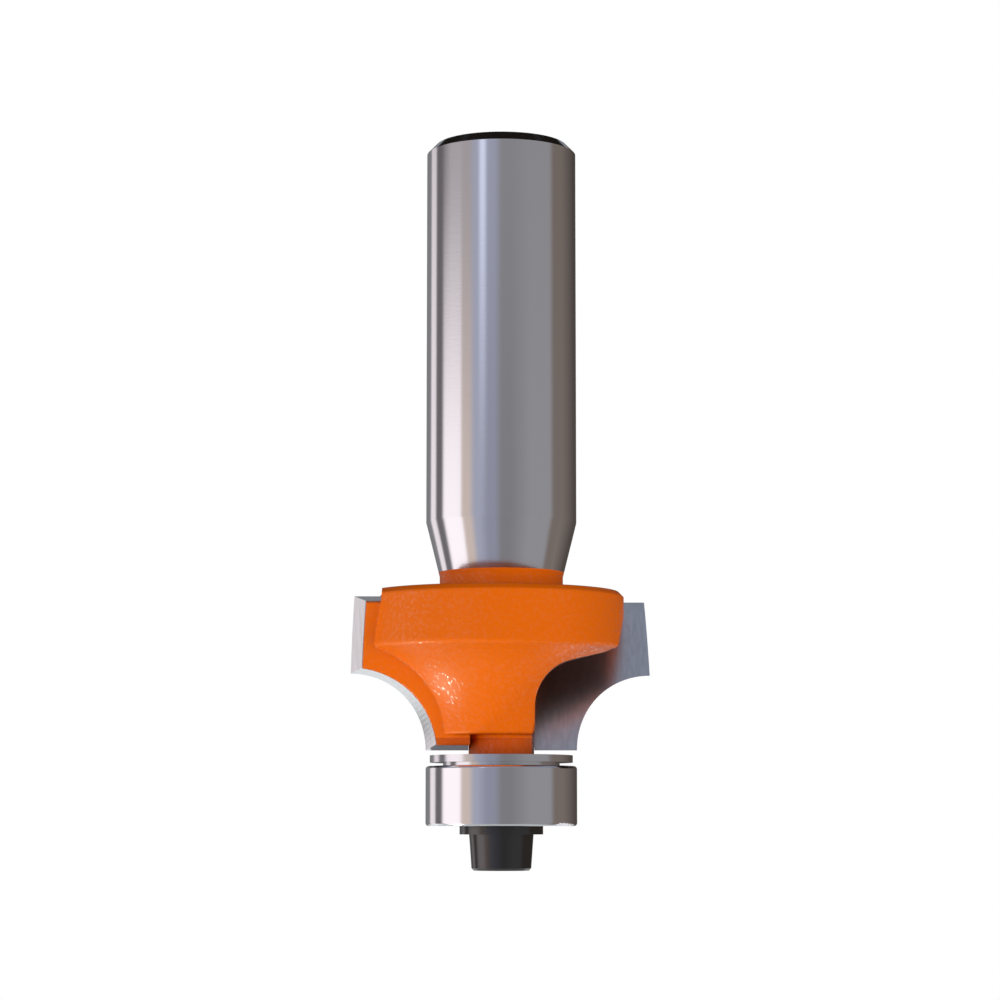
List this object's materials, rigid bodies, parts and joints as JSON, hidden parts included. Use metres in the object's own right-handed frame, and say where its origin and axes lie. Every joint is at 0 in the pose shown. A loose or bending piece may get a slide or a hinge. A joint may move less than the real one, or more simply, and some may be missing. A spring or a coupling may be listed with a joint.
{
  "type": "router bit",
  "caption": "Bearing-guided rounding-over router bit: straight shank, orange coated body with brazed carbide tips, dust shield, ball bearing, washer and cap screw.",
  "frame": {"origin": "centre of the shank's free end face", "axes": "+Z out of the free end of the shank, along the turning axis; the two blades' lower inner corners lie on +X and -X"},
  "size_m": [0.0252, 0.022, 0.0617],
  "materials": {
    "body_steel": "ground bright shank; neck, cutter body and collar coated glossy orange",
    "carbide": "finely ground sintered carbide",
    "bright_steel": "turned or pressed, bright",
    "bearing_steel": "ground bearing steel",
    "ball_steel": "polished bearing balls",
    "cage_steel": "pressed sheet",
    "spring_steel": "drawn wire",
    "black_oxide": "black oxide on steel"
  },
  "bodies": {
    "bit": {"bit_body": "body_steel", "carbide_tip_1": "carbide", "carbide_tip_2": "carbide", "dust_shield": "bright_steel", "bearing_inner_ring": "bearing_steel", "flat_washer": "black_oxide", "cap_screw": "black_oxide"},
    "outer_ring": {"bearing_outer_ring": "bearing_steel", "bearing_shield_upper": "bright_steel", "bearing_shield_lower": "bright_steel", "snap_ring_upper": "spring_steel", "snap_ring_lower": "spring_steel"},
    "cage": {"cage_upper": "cage_steel", "cage_lower": "cage_steel", "cage_rivets": "cage_steel"},
    "rolling_ball_1": {"ball_1": "ball_steel"},
    "rolling_ball_2": {"ball_2": "ball_steel"},
    "rolling_ball_3": {"ball_3": "ball_steel"},
    "rolling_ball_4": {"ball_4": "ball_steel"},
    "rolling_ball_5": {"ball_5": "ball_steel"},
    "rolling_ball_6": {"ball_6": "ball_steel"},
    "rolling_ball_7": {"ball_7": "ball_steel"}
  },
  "joints": [
    {"name": "outer_ring_spin", "type": "hinge", "parent": "bit", "child": "outer_ring", "pos_m": [0, 0, -0.05547], "axis": [0, 0, 1], "continuous": true},
    {"name": "cage_orbit", "type": "hinge", "parent": "bit", "child": "cage", "pos_m": [0, 0, -0.05547], "axis": [0, 0, 1], "continuous": true},
    {"name": "ball_1_roll", "type": "hinge", "parent": "cage", "child": "rolling_ball_1", "pos_m": [0.00436, 0, -0.05547], "axis": [0, 0, 1], "continuous": true},
    {"name": "ball_2_roll", "type": "hinge", "parent": "cage", "child": "rolling_ball_2", "pos_m": [0.00272, 0.00341, -0.05547], "axis": [0, 0, 1], "continuous": true},
    {"name": "ball_3_roll", "type": "hinge", "parent": "cage", "child": "rolling_ball_3", "pos_m": [-0.00097, 0.00426, -0.05547], "axis": [0, 0, 1], "continuous": true},
    {"name": "ball_4_roll", "type": "hinge", "parent": "cage", "child": "rolling_ball_4", "pos_m": [-0.00393, 0.00189, -0.05547], "axis": [0, 0, 1], "continuous": true},
    {"name": "ball_5_roll", "type": "hinge", "parent": "cage", "child": "rolling_ball_5", "pos_m": [-0.00393, -0.00189, -0.05547], "axis": [0, 0, 1], "continuous": true},
    {"name": "ball_6_roll", "type": "hinge", "parent": "cage", "child": "rolling_ball_6", "pos_m": [-0.00097, -0.00426, -0.05547], "axis": [0, 0, 1], "continuous": true},
    {"name": "ball_7_roll", "type": "hinge", "parent": "cage", "child": "rolling_ball_7", "pos_m": [0.00272, -0.00341, -0.05547], "axis": [0, 0, 1], "continuous": true}
  ],
  "couplings": [
    {"joint": "cage_orbit", "follows": "outer_ring_spin", "ratio": 0.63631},
    {"joint": "ball_1_roll", "follows": "outer_ring_spin", "ratio": 1.6977},
    {"joint": "ball_2_roll", "follows": "outer_ring_spin", "ratio": 1.6977},
    {"joint": "ball_3_roll", "follows": "outer_ring_spin", "ratio": 1.6977},
    {"joint": "ball_4_roll", "follows": "outer_ring_spin", "ratio": 1.6977},
    {"joint": "ball_5_roll", "follows": "outer_ring_spin", "ratio": 1.6977},
    {"joint": "ball_6_roll", "follows": "outer_ring_spin", "ratio": 1.6977},
    {"joint": "ball_7_roll", "follows": "outer_ring_spin", "ratio": 1.6977}
  ]
}
